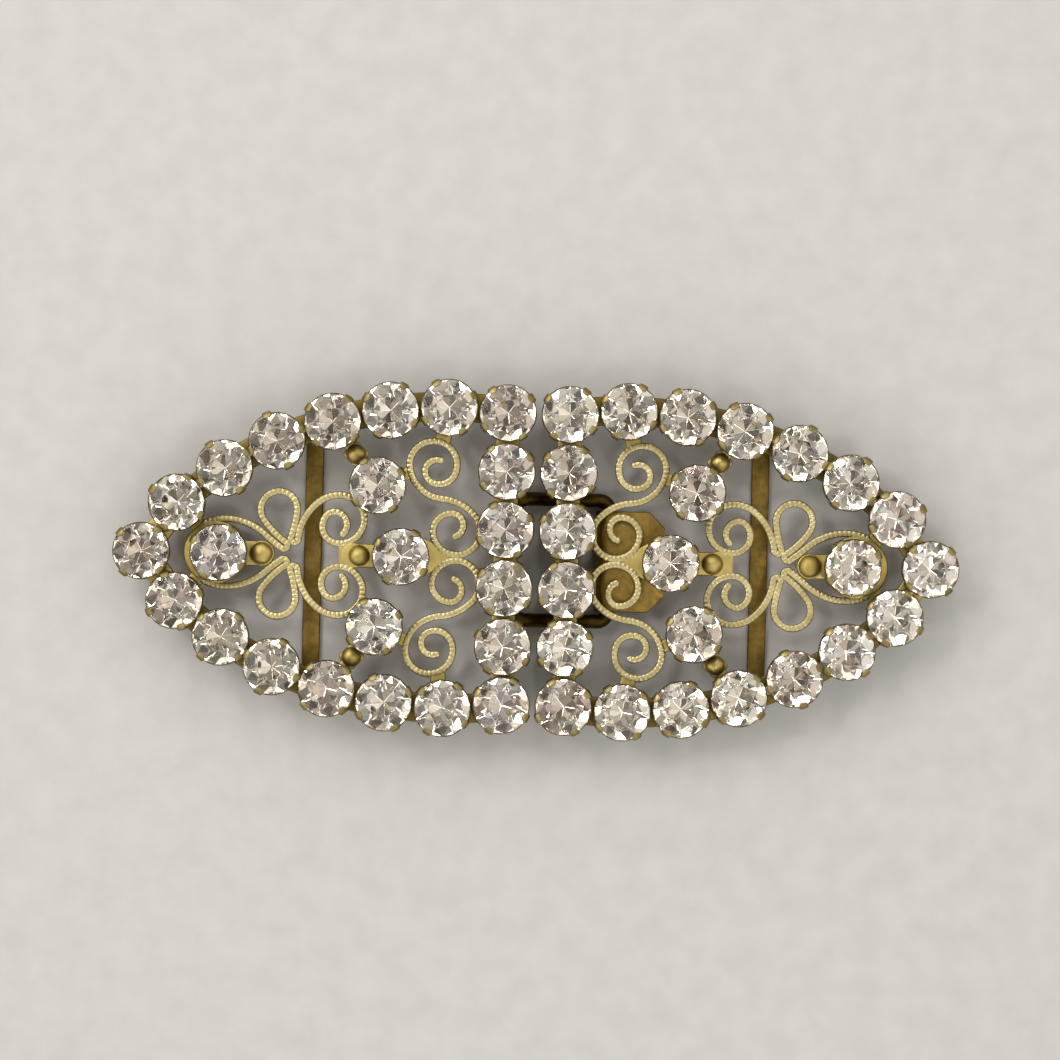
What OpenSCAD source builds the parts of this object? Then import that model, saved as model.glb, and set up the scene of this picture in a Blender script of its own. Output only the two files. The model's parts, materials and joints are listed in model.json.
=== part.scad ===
// Two-part rhinestone clasp for a hair ribbon or elastic.
// Two pierced brass halves carry foiled stones in pronged cups. A bent hook under the right
// half holds the wire loop of the left half, and the halves fold back on that loop.
// The clasp lies on its back: +X is along its length, +Z is towards the stones, and the
// origin is under the middle of the clasp, on the plane that its ribbon bars rest on.

/* [Clasp outline] */
// Length over both halves when hooked together
clasp_length = 85; // [85:1:110]
// Width over the cups at the crest of the rim
clasp_width = 36; // [36:1:46]
// Gap between the two facing rows of cups
centre_gap = 0.4; // [0.3:0.1:2]
// Distance of the rim's crest from the middle line
crest_x = 9; // [6:0.5:14]
// Distance past the tip stone at which the two rim curves would meet
tip_lead = 1.34; // [1:0.02:2]

/* [Stones] */
// Diameter of a stone at its girdle
stone_d = 5.6; // [4.2:0.1:5.6]
// Diameter of the flat table on top
table_d = 2.5; // [1.5:0.1:3.4]
// Height of the crown above the girdle
crown_h = 1.15; // [0.8:0.05:1.6]
// Height of the girdle band
girdle_h = 0.15; // [0.1:0.05:0.4]
// Depth of the pointed back below the girdle
pavilion_h = 2.3; // [1.8:0.1:3]

/* [Cups] */
// Wall of a cup beside the girdle
cup_wall = 0.11; // [0.08:0.01:0.14]
// Width of the ledge inside the cup that the stone's back rests on
cup_ledge = 0.25; // [0.15:0.05:0.5]
// Thickness of the floor of a cup
cup_floor = 0.3; // [0.2:0.05:0.6]
// Room all round a stone in its cup
stone_clear = 0.01; // [0.005:0.005:0.03]
// Width of a prong
prong_w = 0.9; // [0.6:0.1:1.4]
// Thickness of a prong
prong_t = 0.22; // [0.15:0.01:0.3]
// Distance that a prong reaches in over the crown
prong_reach = 0.35; // [0.3:0.05:0.8]

/* [Filigree] */
// Thickness of the filigree
plate_t = 0.8; // [0.6:0.1:1.2]
// Width of the scroll strip
strip_w = 0.72; // [0.5:0.01:0.8]
// Reach of the rim band outside the line of stone centres
rim_out = 1.65; // [1.5:0.05:2.5]
// Reach of the rim band inside the line of stone centres
rim_in = 1.3; // [0.8:0.05:1.6]
// Width of the straight band under the column of stones
column_w = 2.4; // [1.8:0.1:3]
// Radius of the seat under a stone that stands inside the rim
seat_r = 2.3; // [1.8:0.1:2.8]
// Radius of the round shield behind the inner tip stone
shield_r = 3.2; // [2.9:0.1:3.6]
// Distance of the shield's centre past that stone, towards the tip
shield_shift = 0.55; // [0:0.05:0.8]

/* [Hook and loop] */
// Thickness of the hook's sheet
hook_t = 0.6; // [0.4:0.05:0.9]
// Width of the hook
hook_w = 10.2; // [8:0.1:10.6]
// Distance of the hook's fold from the middle line
hook_x = 6; // [5:0.1:7]
// Length of the hook's upper leaf, which is soldered under the filigree
hook_l = 7; // [6:0.1:8]
// Length of the hook's lower leaf, past the fold's centre
hook_lip = 4; // [2:0.1:5]
// Diameter of the loop's wire
wire_d = 1.4; // [1:0.05:1.8]
// Distance between the inner sides of the loop's two arms
loop_w = 10.9; // [10.8:0.1:12]
// Running room round the wire in the fold
hook_clear = 0.06; // [0.02:0.01:0.1]

/* [Ribbon bars] */
// Distance of each bar from the middle line
bar_x = 22.7; // [20:0.1:25]
// Width of a bar
bar_w = 1.8; // [1.2:0.1:2.6]
// Thickness of a bar
bar_t = 0.6; // [0.4:0.05:1]

/* [Hidden] */
SIDES = ["left", "right"];
RIM_N = 15;      // stones round one rim, from the upper corner past the tip to the lower corner
ARC_N = 7;       // of those, how many stand on one curve
COLUMN_N = 4;    // stones in one column, between the corners
INNER = ["upper_side_stone", "lower_side_stone", "middle_stone", "inner_tip_stone"];
BRASSWORK = ["filigree", "ribbon_bar", "rim_cups", "column_cups", "inner_cups"];

BRASS = [0.72, 0.62, 0.38];
DARK_BRASS = [0.50, 0.42, 0.22];
CUP_BRASS = [0.78, 0.70, 0.47];
GLASS = [0.90, 0.87, 0.84];

// Heights, from the resting plane up
rest_step = 0.08;                          // the hook clears the resting plane by this much
fold_r = wire_d / 2 + hook_clear;          // inside radius of the hook's fold
plate_z = rest_step + 2 * hook_t + 2 * fold_r;
axis_z = plate_z - hook_t - fold_r;        // centre of the fold and of the loop's crossbar
top_z = plate_z + plate_t;
culet_clear = 0.1;                         // room under a stone's point
girdle_z = top_z + cup_floor + culet_clear + pavilion_h;
crown_z = girdle_z + girdle_h;

// Plan of the rim: one circle through the crest and through the point past the tip
cup_r = stone_d / 2 + stone_clear + cup_wall;
column_x = centre_gap / 2 + cup_r;
tip_x = clasp_length / 2 - cup_r;
crest_y = clasp_width / 2 - cup_r;
meet_x = tip_x + tip_lead;
rim_r = (pow(meet_x - crest_x, 2) + pow(crest_y, 2)) / (2 * crest_y);
rim_cy = crest_y - rim_r;
corner_a = asin((column_x - crest_x) / rim_r);
meet_a = asin((meet_x - crest_x) / rim_r);
tip_share = 1.16;                          // arc left for the tip stone, in stone spacings
step_a = (meet_a - corner_a) / (ARC_N - 1 + tip_share);

// The scrollwork is drawn for the first clasp and stretched to the outline
drawn_tip_x = 39.6;
drawn_crest_y = 15.1;
kx = tip_x / drawn_tip_x;
ky = crest_y / drawn_crest_y;
function fit(p) = [p[0] * kx, p[1] * ky];
function flip(p) = [p[0], -p[1]];
function on_arc(a, r) = [crest_x + r * sin(a), rim_cy + r * cos(a)];
function rim_point(k) = on_arc(corner_a + k * step_a, rim_r);
function rim_y(x) = rim_cy + sqrt(pow(rim_r, 2) - pow(x - crest_x, 2));

// Places of one half's stones
corner_y = rim_point(0)[1];
side_p = fit([16.05, 7.1]);
middle_p = fit([13.55, 0]);
inner_tip_p = fit([31.85, 0]);
tip_p = [tip_x, 0];
arc_places = [for (k = [0:ARC_N - 1]) rim_point(k)];
rim_places = concat(arc_places, [tip_p], [for (k = [ARC_N - 1:-1:0]) flip(rim_point(k))]);
column_places = [for (j = [1:COLUMN_N]) [column_x, corner_y * (1 - 2 * j / (COLUMN_N + 1))]];
inner_places = [side_p, flip(side_p), middle_p, inner_tip_p];

// Scroll strips: a start [x, y, heading] and arcs [radius, turn], left turns positive
S_START = [9.5, 9.65, 35];
S_ARCS = [[1.2, -190], [1.75, -96], [2.4, -210], [3.7, -75],
          [4.8, 46], [2.4, 210], [1.9, 96], [1.2, 180]];
C_START = [19.8, 1.95, 150];
C_ARCS = [[1.3, -145], [1, -50], [1.7, -130], [2.45, -180], [3.3, -43], [5.5, -47]];
HAIRPIN = [strip_w / 2 + 0.01, 193];
PETAL_ARCS = [[13.8, -11], [1.85, -222], [8.8, -21]];
HAIRPIN_2 = [strip_w / 2 + 0.01, 182];
ALMOND_ARCS = [[25, 5], [6.2, -27], [5.4, -42]];
TRACERY_ARCS = concat(C_ARCS, [HAIRPIN], PETAL_ARCS, [HAIRPIN_2], ALMOND_ARCS);
arc_step = 18;                             // one straight facet of a scroll, in degrees
weld = 0.02;                               // hairline gaps up to twice this are closed

function arc_centre(s, c) =
    let (g = sign(c[1]))
    [s[0] - g * c[0] * sin(s[2]), s[1] + g * c[0] * cos(s[2])];
function arc_at(s, c, a) =
    let (g = sign(c[1]), o = arc_centre(s, c), t = s[2] + a)
    [o[0] + g * c[0] * sin(t), o[1] - g * c[0] * cos(t), t];
function states(s, arcs, i = 0) =
    i == len(arcs) ? [s] : concat([s], states(arc_at(s, arcs[i], arcs[i][1]), arcs, i + 1));
function side_point(q, off) =
    let (d = [kx * cos(q[2]), ky * sin(q[2])], n = [-d[1], d[0]] / norm(d))
    fit([q[0], q[1]]) + off * n;
function side_line(s, c, off) =
    let (n = max(2, ceil(abs(c[1]) / arc_step)))
    [for (i = [0:n]) side_point(arc_at(s, c, c[1] * i / n), off)];
function reverse(v) = [for (i = [len(v) - 1:-1:0]) v[i]];

// ---- Filigree ----

// A strip of constant width along a chain of arcs, with round ends
module strip(start, arcs) {
    stops = states(start, arcs);
    for (i = [0:len(arcs) - 1])
        polygon(concat(side_line(stops[i], arcs[i], strip_w / 2),
                       reverse(side_line(stops[i], arcs[i], -strip_w / 2))));
    for (s = [stops[0], stops[len(stops) - 1]])
        translate(fit([s[0], s[1]])) circle(d = strip_w, $fn = 16);
}

// A straight flat link of width w from a to b
module link(a, b, w) {
    d = (b - a) / norm(b - a);
    n = [-d[1], d[0]] * w / 2;
    polygon([a + n, b + n, b - n, a - n]);
}

// The flat band under one curve of rim stones
module rim_band() {
    n = 4 * ARC_N;
    first = corner_a - 0.15 * step_a;
    last = corner_a + (ARC_N - 0.9) * step_a;
    arc = [for (i = [0:n]) first + (last - first) * i / n];
    polygon(concat([for (a = arc) on_arc(a, rim_r + rim_out)],
                   reverse([for (a = arc) on_arc(a, rim_r - rim_in)])));
    link(rim_point(ARC_N - 1), tip_p, 2 * rim_in);
}

// Scrolls and links of the upper quarter of one half
module quarter() {
    rim_band();
    strip(S_START, S_ARCS);
    strip(C_START, TRACERY_ARCS);
    link(fit([9.7, 11.6]), rim_point(1), 1.6);
    link(fit([12.6, 8.7]), side_p, 1.3);
    link(fit([18.5, 5.2]), side_p, 1.4);
    link(side_p, rim_point(3), 1.2);
    link([column_x, 2.9 * ky], fit([6.1, 2.9]), 2.5);
    link(inner_tip_p, rim_point(ARC_N - 1), 1.6);
    translate(side_p) circle(r = seat_r, $fn = 40);
    translate(rim_point(0)) circle(r = seat_r, $fn = 40);
    quatrefoil((side_p + rim_point(3)) / 2);
}

// The four-lobed plate under a side boss
module quatrefoil(p) {
    for (a = [0:90:270])
        translate(p) rotate(a) translate([0.62, 0]) circle(r = 0.62, $fn = 20);
}

// Outline of one half's filigree
module half_outline() {
    offset(delta = -weld) offset(delta = weld) union() {
        quarter();
        mirror([0, 1, 0]) quarter();
        translate([column_x - column_w / 2, -corner_y]) square([column_w, 2 * corner_y]);
        link(fit([7.4, 0]), middle_p, 1.2);
        polygon([fit([8.9, 0.6]), fit([11.3, 1.95]), fit([11.3, -1.95]), fit([8.9, -0.6])]);
        link(middle_p, fit([18.6, 0]), 2.4);
        translate(fit([18.4, 0])) circle(r = 1.3, $fn = 24);
        polygon([fit([17.4, 1.1]), fit([19.9, 1.35]), fit([19.9, -1.35]), fit([17.4, -1.1])]);
        link(fit([27.7, 0]), inner_tip_p, 2.5);
        translate(fit([27.7, 0])) circle(r = 1.3, $fn = 24);
        translate(middle_p) circle(r = seat_r, $fn = 40);
        translate(inner_tip_p + [shield_shift, 0]) circle(r = shield_r, $fn = 56);
        translate(tip_p) circle(r = seat_r, $fn = 40);
    }
}

// A low round dome, radius r and height h, raised from the filigree at p
module boss(p, r, h) {
    ball_r = (r * r + h * h) / (2 * h);
    sunk = plate_t / 2;
    translate([p[0], p[1], top_z]) intersection() {
        translate([0, 0, h - ball_r]) sphere(r = ball_r, $fn = 48);
        translate([0, 0, -sunk]) cylinder(r = 2 * r, h = h + sunk, $fn = 48);
    }
}

module filigree(side) {
    color(BRASS) on_side(side) {
        translate([0, 0, plate_z]) linear_extrude(plate_t) half_outline();
        side_boss = (side_p + rim_point(3)) / 2;
        boss(side_boss, 1, 0.78);
        boss(flip(side_boss), 1, 0.78);
        boss(fit([17.85, 0]), 1.05, 0.75);
        boss(fit([27.7, 0]), 1.15, 0.74);
    }
}

// ---- Stones and cups ----

// Puts a shape drawn for the right half on either half
module on_side(side) {
    if (side == "left") mirror([1, 0, 0]) children();
    else children();
}

module stone(side, p) {
    r = stone_d / 2;
    color(GLASS) on_side(side) translate(p) rotate_extrude($fn = 64)
        polygon([[0, girdle_z - pavilion_h], [r, girdle_z], [r, crown_z],
                 [table_d / 2, crown_z + crown_h], [0, crown_z + crown_h]]);
}

// Section of a cup's wall, ledge and floor
module cup_section() {
    lip_r = stone_d / 2 + stone_clear;
    ledge_r = lip_r - cup_ledge;
    slope = pavilion_h / (stone_d / 2);
    polygon([[0, top_z], [cup_r, top_z], [cup_r, crown_z], [lip_r, crown_z], [lip_r, girdle_z],
             [ledge_r, girdle_z - slope * cup_ledge], [ledge_r, top_z + cup_floor],
             [0, top_z + cup_floor]]);
}

// Section of the cone that the prongs are cut from, lying over the crown
module prong_section() {
    slope = crown_h / (stone_d / 2 - table_d / 2);
    lip_r = stone_d / 2 + stone_clear;
    in_r = stone_d / 2 - prong_reach;
    under = crown_z + slope * (lip_r - in_r);
    polygon([[lip_r, crown_z], [cup_r, crown_z], [cup_r, crown_z + prong_t],
             [in_r + prong_t / 2, under + prong_t], [in_r, under + prong_t / 2], [in_r, under]]);
}

// One cup with four prongs, turned by a
module cup(p, a) {
    translate(p) rotate(a) {
        rotate_extrude($fn = 64) cup_section();
        intersection() {
            rotate_extrude($fn = 64) prong_section();
            for (b = [0, 90])
                rotate(b) translate([-2 * cup_r, -prong_w / 2, top_z])
                    cube([4 * cup_r, prong_w, 2 * crown_z]);
        }
    }
}

// The cups of one row; each is turned a little differently, as they were by hand
module cup_row(side, places) {
    color(CUP_BRASS) on_side(side)
        for (i = [0:len(places) - 1]) cup(places[i], 45 + 22 * sin(97 * i + 30));
}

// ---- Hook, loop and ribbon bars ----

fold_x = hook_x + hook_t + fold_r;         // centre of the fold, and the axis that the halves turn on
hook_end_x = hook_x + hook_l;
hook_corner = 1.6;                         // cut off the two corners of the upper leaf

// Flat outline of the upper leaf, with its two cut corners
module leaf_outline() {
    h = hook_w / 2;
    polygon([[fold_x, -h], [hook_end_x - hook_corner, -h], [hook_end_x, hook_corner - h],
             [hook_end_x, h - hook_corner], [hook_end_x - hook_corner, h], [fold_x, h]]);
}

module hook() {
    color(DARK_BRASS) {
        translate([0, 0, plate_z - hook_t]) linear_extrude(hook_t) leaf_outline();
        translate([fold_x, 0, axis_z]) rotate([90, 0, 0]) difference() {
            cylinder(r = fold_r + hook_t, h = hook_w, center = true, $fn = 64);
            cylinder(r = fold_r, h = 2 * hook_w, center = true, $fn = 64);
            translate([0, -hook_w, -hook_w]) cube(2 * hook_w);
        }
        translate([fold_x, -hook_w / 2, axis_z - fold_r - hook_t]) cube([hook_lip, hook_w, hook_t]);
    }
}

arm_y = (loop_w + wire_d) / 2;             // centre line of an arm
side_clear = 0.05;                         // room between the hook's edge and the corner bend
bend_r = arm_y - hook_w / 2 - side_clear;  // centre-line radius of the loop's corners
corner_x = fold_x - bend_r;
low_x = 1.4;                               // the arms run level from their corners to here,
lift_r = 3;                                // then swing up and level again at this radius
solder = 0.02;                             // film between the wire's top and the filigree
lift = plate_z - solder - wire_d / 2 - axis_z;
lift_a = acos(1 - lift / (2 * lift_r));
high_x = low_x - 2 * lift_r * sin(lift_a);
foot_l = high_x + column_x + column_w / 2 - 0.3;   // the flattened foot ends under the column's band
foot_w = 1.36 * wire_d;
foot_t = 0.535 * wire_d;
lap = 0.05;                                // each bend runs this far into its neighbours,
hair = 0.01;                               // and is thinner than they are by this much

// A bend of the wire: centre c, centre-line radius r, from angle a on through turn t. It is drawn
// thinner than its neighbours by slim, and laps into those before and after it
module bend(c, tilt, r, a, t, slim, before, after) {
    lap_a = lap / r * 180 / PI;
    translate(c) rotate([tilt, 0, 0]) rotate(a - before * lap_a)
        rotate_extrude(angle = t + (before + after) * lap_a, $fn = 64)
            translate([r, 0]) circle(d = wire_d - slim, $fn = 48);
}

// One arm: corner, level run, two bends up to the filigree, and a flattened foot
module arm() {
    bend([corner_x, arm_y - bend_r, axis_z], 0, bend_r, 0, 90, hair, 1, 1);
    translate([low_x, arm_y, axis_z]) rotate([0, 90, 0])
        cylinder(d = wire_d, h = corner_x - low_x, $fn = 48);
    bend([low_x, arm_y, axis_z + lift_r], 90, lift_r, -90 - lift_a, lift_a, hair, 0, 1);
    bend([high_x, arm_y, axis_z + lift - lift_r], 90, lift_r, 90 - lift_a, lift_a, 2 * hair, 1, 1);
    translate([high_x - foot_l, arm_y - foot_w / 2, plate_z - foot_t]) cube([foot_l, foot_w, foot_t]);
}

module loop() {
    color(DARK_BRASS) {
        translate([fold_x, 0, axis_z]) rotate([90, 0, 0])
            cylinder(d = wire_d, h = 2 * (arm_y - bend_r), center = true, $fn = 48);
        arm();
        mirror([0, 1, 0]) arm();
    }
}

// A flat bar with two legs that reach up to the back of the rim
module ribbon_bar(side) {
    x = bar_x * kx;
    leg_y = rim_y(x) + 0.3;
    color(DARK_BRASS) on_side(side) translate([x - bar_w / 2, 0, 0]) {
        translate([0, -leg_y, 0]) cube([bar_w, 2 * leg_y, bar_t]);
        for (v = [leg_y - bar_t, -leg_y])
            translate([0, v, 0]) cube([bar_w, bar_t, plate_z]);
    }
}

// ---- Assembly ----

for (s = SIDES) {
    filigree(s);
    ribbon_bar(s);
    cup_row(s, rim_places);
    cup_row(s, column_places);
    cup_row(s, inner_places);
    for (n = [1:RIM_N])
        stone(s, rim_places[n - 1]);
    for (n = [1:COLUMN_N])
        stone(s, column_places[n - 1]);
    for (n = [0:len(INNER) - 1])
        stone(s, inner_places[n]);
}
hook();
loop();
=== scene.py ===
# %% [markdown]
# A two-part rhinestone clasp for a hair ribbon, finished in Blender.
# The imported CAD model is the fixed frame: it gives every place and every size. This lesson adds what
# the eye looks for on such a clasp, which is cut stones, pronged cups and milled scroll wire, and
# gives each metal and each stone a finish of its own.

# %% Load the fixed frame
import json
import math

import bpy
import numpy as np
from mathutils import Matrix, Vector


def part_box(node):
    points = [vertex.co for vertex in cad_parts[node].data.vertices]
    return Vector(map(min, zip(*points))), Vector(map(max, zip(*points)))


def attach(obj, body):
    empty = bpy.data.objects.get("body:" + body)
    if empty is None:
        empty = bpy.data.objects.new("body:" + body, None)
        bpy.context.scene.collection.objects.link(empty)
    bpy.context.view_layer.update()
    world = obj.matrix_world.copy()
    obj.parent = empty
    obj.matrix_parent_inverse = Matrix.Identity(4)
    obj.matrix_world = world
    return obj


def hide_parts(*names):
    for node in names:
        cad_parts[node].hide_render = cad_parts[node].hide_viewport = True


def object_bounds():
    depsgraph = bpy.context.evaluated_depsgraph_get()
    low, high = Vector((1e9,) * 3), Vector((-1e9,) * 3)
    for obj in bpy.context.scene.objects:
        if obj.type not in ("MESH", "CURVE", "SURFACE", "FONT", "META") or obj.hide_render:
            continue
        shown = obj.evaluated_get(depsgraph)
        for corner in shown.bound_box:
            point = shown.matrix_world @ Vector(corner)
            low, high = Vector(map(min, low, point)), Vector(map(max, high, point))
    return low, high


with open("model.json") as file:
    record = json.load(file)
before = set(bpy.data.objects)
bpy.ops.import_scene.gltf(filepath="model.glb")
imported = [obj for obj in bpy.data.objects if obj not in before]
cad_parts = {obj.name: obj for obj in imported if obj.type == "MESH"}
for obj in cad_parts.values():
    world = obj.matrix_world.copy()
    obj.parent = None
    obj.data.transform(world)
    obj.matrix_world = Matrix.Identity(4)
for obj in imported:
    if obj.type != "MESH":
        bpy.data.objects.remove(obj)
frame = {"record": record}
CAD_LOW, CAD_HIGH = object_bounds()
MM = 0.001
print("CAD box in mm:", [round(v / MM, 2) for v in (CAD_HIGH - CAD_LOW)])

# %% [markdown]
# The camera looks almost straight down on the clasp, as one holds a phone over a table. It is made
# first, because everything else is judged through it. The lens is long, so the stones at the tips
# lean outwards only a little. The turn of a degree and a half is how the clasp lay.

# %% Camera
VIEW_WIDTH = 106 * MM          # what the picture takes in across the clasp
EYE_HEIGHT = 360 * MM
EYE = Vector((-0.65 * MM, 3.0 * MM, EYE_HEIGHT))
STONE_LEVEL = 7 * MM           # the width is measured at the height of the stones


def make_camera():
    """A long lens over the clasp, turned by the angle at which the clasp lay."""
    data = bpy.data.cameras.new("overhead_camera")
    data.sensor_width = 36
    camera = bpy.data.objects.new("overhead_camera", data)
    bpy.context.scene.collection.objects.link(camera)
    camera.location = EYE
    camera.rotation_euler = (0, 0, math.radians(1.4))
    data.lens = data.sensor_width * (EYE_HEIGHT - STONE_LEVEL) / VIEW_WIDTH
    data.clip_start, data.clip_end = 0.01, 5
    bpy.context.scene.camera = camera
    return camera


camera = make_camera()
print("lens:", round(camera.data.lens), "mm")

# %% [markdown]
# The studio's walls and every finish below are small trees of nodes. Colours are written as the hex
# values that a designer would pick on a screen, so one function turns them to the linear values that
# the shader needs, and one function adds a node with its settings and its links.

# %% Helpers for node trees
def linear(code):
    """sRGB hex to linear red, green, blue and alpha: x/12.92 below 0.04045, else a 2.4 power."""
    values = [int(code[i:i + 2], 16) / 255 for i in (0, 2, 4)]
    return [v / 12.92 if v <= 0.04045 else ((v + 0.055) / 1.055) ** 2.4 for v in values] + [1.0]


def add(tree, kind, sets=None, links=None):
    """Adds one node. sets gives input values or node properties; links gives input name to output socket."""
    node = tree.nodes.new(kind)
    for key, value in (sets or {}).items():
        if isinstance(key, int) or key in node.inputs:
            node.inputs[key].default_value = value
        else:
            setattr(node, key, value)
    for key, socket in (links or {}).items():
        tree.links.new(socket, node.inputs[key])
    return node


def ramp(tree, value, stops):
    """A colour ramp over stops of (position, hex or grey value)."""
    node = add(tree, "ShaderNodeValToRGB", links={"Fac": value})
    points = node.color_ramp.elements
    while len(points) < len(stops):
        points.new(0.5)
    for point, (place, colour) in zip(points, stops):
        point.position = place
        point.color = linear(colour) if isinstance(colour, str) else (colour, colour, colour, 1)
    return node.outputs["Color"]


def new_material(name):
    """An empty node material, its shader and its tree."""
    material = bpy.data.materials.new(name)
    material.use_nodes = True
    tree = material.node_tree
    return material, tree, tree.nodes["Principled BSDF"]


def per_mm(size):
    """Texture scale, in cells per metre, of a pattern whose cells are size mm across."""
    return 1 / (size * MM)

# %% [markdown]
# Studio light for stones is a balance. A dome that is white all over makes glass look like paper,
# because every facet then shows the same white. So the dome has bright and dark patches, as a room
# has windows and corners, and a few soft boxes stand before it. A facet that catches a bright one
# turns white while its neighbour stays grey, and that contrast is what the eye calls sparkle.

# %% Light
def soft_box(name, place, size, power, colour):
    """A square area lamp at a place in mm, aimed at the clasp's middle."""
    data = bpy.data.lights.new(name, "AREA")
    data.shape, data.size, data.energy, data.color = "SQUARE", size * MM, power, colour
    lamp = bpy.data.objects.new(name, data)
    bpy.context.scene.collection.objects.link(lamp)
    lamp.location = Vector(place) * MM
    lamp.rotation_euler = (-lamp.location).to_track_quat("-Z", "Y").to_euler()
    return lamp


BOX_DISTANCE = 380             # of every box but the key from the clasp, in mm
# Name, azimuth and height in degrees, size in mm, power and colour of each box round the clasp
RING_OF_BOXES = [("east", 8, 36, 250, 0.24, (1.0, 0.97, 0.93)),
                 ("north_east", 58, 50, 170, 0.14, (1.0, 1.0, 1.0)),
                 ("north", 108, 33, 250, 0.26, (1.0, 0.99, 0.96)),
                 ("west", 188, 40, 240, 0.26, (1.0, 0.96, 0.93)),
                 ("south_west", 232, 55, 160, 0.12, (1.0, 0.99, 0.96)),
                 ("south", 282, 34, 250, 0.24, (0.98, 0.98, 1.0)),
                 ("south_east", 328, 57, 150, 0.10, (1.0, 0.97, 0.97)),
                 ("spark_north", 84, 66, 45, 0.11, (1.0, 1.0, 1.0)),
                 ("spark_west", 158, 60, 45, 0.11, (1.0, 1.0, 1.0)),
                 ("spark_south", 305, 70, 45, 0.10, (1.0, 1.0, 1.0))]


def make_light():
    """A dome of bright and dark patches, a large key at the upper left, and smaller boxes all round."""
    world = bpy.data.worlds.new("studio_dome")
    world.use_nodes = True
    tree = world.node_tree
    way = add(tree, "ShaderNodeTexCoord").outputs["Generated"]
    patches = add(tree, "ShaderNodeTexNoise", {"Scale": 2.6, "Detail": 1.0}, {"Vector": way}).outputs["Fac"]
    dome = tree.nodes["Background"]
    tree.links.new(ramp(tree, patches, [(0.40, "595755"), (0.60, "F9F8F6")]), dome.inputs["Color"])
    dome.inputs["Strength"].default_value = 0.92
    bpy.context.scene.world = world
    soft_box("key", (-260, 240, 430), 230, 1.0, (1.0, 0.985, 0.96))
    for name, azimuth, height, size, power, colour in RING_OF_BOXES:
        away = BOX_DISTANCE * math.cos(math.radians(height))
        place = (away * math.cos(math.radians(azimuth)), away * math.sin(math.radians(azimuth)),
                 BOX_DISTANCE * math.sin(math.radians(height)))
        soft_box(name, place, size, power, colour)


make_light()
bpy.context.scene.view_settings.view_transform = "Standard"
print("boxes:", 1 + len(RING_OF_BOXES))

# %% [markdown]
# Aged brass is not one colour. Where fingers rub it, it stays light and bright; where they don't
# reach, it goes brown and dull. The material gets both from a patchy noise a few millimetres wide,
# and from a value called tone that each mesh carries: at 0 the brass stays rubbed, and towards 1 it
# turns brown. Tone is brown patina in the milled cuts of the strip, and painted shade where it
# darkens the whole rim band and the whole loop. It also darkens the strip's sides, the feet of the
# cups and the lower parts of the prongs. A second noise as fine as a hair gives the drawn and
# tumbled skin its grain.

# %% Brass
def make_brass(name, light, dark, grime_and_shade, shine, patch, grain):
    """Brass from its rubbed colour to its brown one; the brown one is also painted shade where tone darkens a part
    lying in shade.

    shine is the lowest and highest roughness; patch and grain are in mm."""
    material, tree, shader = new_material(name)
    place = add(tree, "ShaderNodeTexCoord").outputs["Object"]
    blotch = add(tree, "ShaderNodeTexNoise", {"Scale": per_mm(patch), "Detail": 5.0, "Roughness": 0.62},
                 {"Vector": place}).outputs["Fac"]
    skin = add(tree, "ShaderNodeTexNoise", {"Scale": per_mm(grain), "Detail": 3.0, "Roughness": 0.7},
               {"Vector": place}).outputs["Fac"]
    tone = add(tree, "ShaderNodeAttribute", {"attribute_name": "tone"}).outputs["Fac"]
    rubbed = ramp(tree, blotch, [(0.36, dark), (0.62, light)])
    depth = add(tree, "ShaderNodeMath", {"operation": "MULTIPLY_ADD", 1: 0.5}, {0: skin, 2: tone})
    # Where tone is high the colour goes brown: patina in the cuts, and painted shade on parts lying in shade.
    soil_and_shade = ramp(tree, depth.outputs[0], [(0.38, 0.0), (1.15, 1.0)])
    colour = add(tree, "ShaderNodeMix", {"data_type": "RGBA"}, {0: soil_and_shade, 6: rubbed})
    colour.inputs[7].default_value = linear(grime_and_shade)
    tree.links.new(colour.outputs[2], shader.inputs["Base Color"])
    dull = ramp(tree, blotch, [(0.35, shine[1]), (0.65, shine[0])])
    tree.links.new(dull, shader.inputs["Roughness"])
    bump = add(tree, "ShaderNodeBump", {"Strength": 0.55, "Distance": 0.012 * MM}, {"Height": skin})
    tree.links.new(bump.outputs[0], shader.inputs["Normal"])
    shader.inputs["Metallic"].default_value = 1.0
    return material


# Milled brass strip: hard-drawn and worn on its crests, with brown left in the cuts.
STRIP_BRASS = make_brass("milled_brass_strip", "B9AC7E", "A5976A", "65522A", (0.32, 0.46), 2.2, 0.16)
# Stamped brass sheet of the bands, links, seats and bosses: satin, a little deeper in colour.
SHEET_BRASS = make_brass("stamped_brass_sheet", "B5A262", "A08C4E", "594721", (0.38, 0.52), 1.8, 0.20)
# Lacquered brass of the cups, which is thin, bright and evenly coloured.
CUP_BRASS = make_brass("lacquered_cup_brass", "94865A", "796B43", "4A3D20", (0.38, 0.52), 1.4, 0.14)
# Raw rolled brass of the bars, the hook and the loop: never polished, and spotted with brown.
RAW_BRASS = make_brass("raw_rolled_brass", "836C36", "6F5929", "3F3012", (0.36, 0.52), 0.7, 0.22)
print("brasses:", [m.name for m in (STRIP_BRASS, SHEET_BRASS, CUP_BRASS, RAW_BRASS)])
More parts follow.
